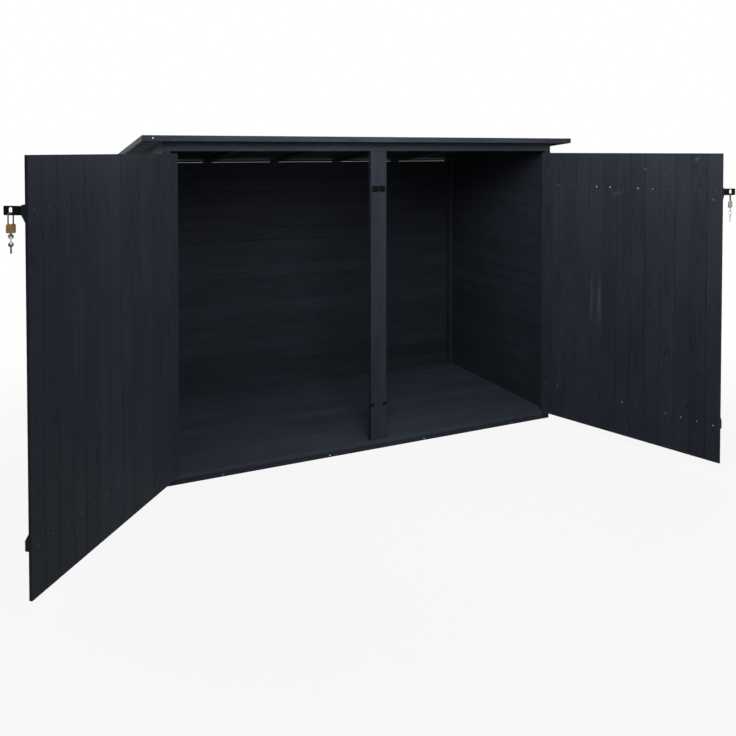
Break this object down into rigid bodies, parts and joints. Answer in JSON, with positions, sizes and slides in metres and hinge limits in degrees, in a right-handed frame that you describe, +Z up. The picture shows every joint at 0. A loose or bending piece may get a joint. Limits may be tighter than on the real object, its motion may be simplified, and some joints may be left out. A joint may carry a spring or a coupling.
{
  "type": "bike shelter",
  "caption": "Low timber bike shelter with a pent roof, wide boarded double doors standing open on a centre post, a raised floor, and hasps with padlocks.",
  "frame": {"origin": "middle of the front bearer's underside, on the ground", "axes": "+X to the right seen from the front, +Y to the back, +Z up"},
  "size_m": [2.988, 2.0191, 1.5266],
  "materials": {
    "stained_wood": "blue-black stain on sawn and planed softwood boards, satin",
    "black_steel": "black powder coat, satin",
    "brass": "satin machined brass",
    "bright_steel": "bright plated steel"
  },
  "bodies": {
    "shelter": {"base_bearers": "stained_wood", "base_joists": "stained_wood", "floor_deck": "stained_wood", "left_front_post": "stained_wood", "right_front_post": "stained_wood", "center_post_left": "stained_wood", "center_post_right": "stained_wood", "left_rear_post": "stained_wood", "right_rear_post": "stained_wood", "front_lintel": "stained_wood", "left_wall": "stained_wood", "right_wall": "stained_wood", "back_wall": "stained_wood", "back_top_rail": "stained_wood", "rafter_1": "stained_wood", "rafter_2": "stained_wood", "rafter_3": "stained_wood", "rafter_4": "stained_wood", "rafter_5": "stained_wood", "rafter_6": "stained_wood", "roof_deck": "stained_wood", "roof_front_trim": "stained_wood", "roof_rear_trim": "stained_wood", "roof_left_trim": "stained_wood", "roof_right_trim": "stained_wood", "hinge_post_leaves": "black_steel", "left_staple": "black_steel", "right_staple": "black_steel"},
    "left_door": {"left_door_boards": "stained_wood", "left_upper_ledge": "stained_wood", "left_lower_ledge": "stained_wood", "left_hinge_door_leaves": "black_steel", "left_hasp_plate": "black_steel"},
    "right_door": {"right_door_boards": "stained_wood", "right_upper_ledge": "stained_wood", "right_lower_ledge": "stained_wood", "right_hinge_door_leaves": "black_steel", "right_hasp_plate": "black_steel"},
    "left_hasp": {"left_hasp_strap": "black_steel", "left_padlock_body": "brass", "left_padlock_shackle": "bright_steel", "left_padlock_keys": "bright_steel"},
    "right_hasp": {"right_hasp_strap": "black_steel", "right_padlock_body": "brass", "right_padlock_shackle": "bright_steel", "right_padlock_keys": "bright_steel"}
  },
  "joints": [
    {"name": "left_door_swing", "type": "hinge", "parent": "shelter", "child": "left_door", "pos_m": [-0.9915, -0.0225, 0], "axis": [0, 0, -1], "range_deg": [-129, 51]},
    {"name": "right_door_swing", "type": "hinge", "parent": "shelter", "child": "right_door", "pos_m": [0.9915, -0.0225, 0], "axis": [0, 0, 1], "range_deg": [-109, 71]},
    {"name": "left_hasp_swing", "type": "hinge", "parent": "left_door", "child": "left_hasp", "pos_m": [-1.5778, -0.74891, 1.275], "axis": [0, 0, -1], "range_deg": [-40, 50]},
    {"name": "right_hasp_swing", "type": "hinge", "parent": "right_door", "child": "right_hasp", "pos_m": [1.294, -0.90563, 1.275], "axis": [0, 0, 1], "range_deg": [-13, 77]}
  ]
}
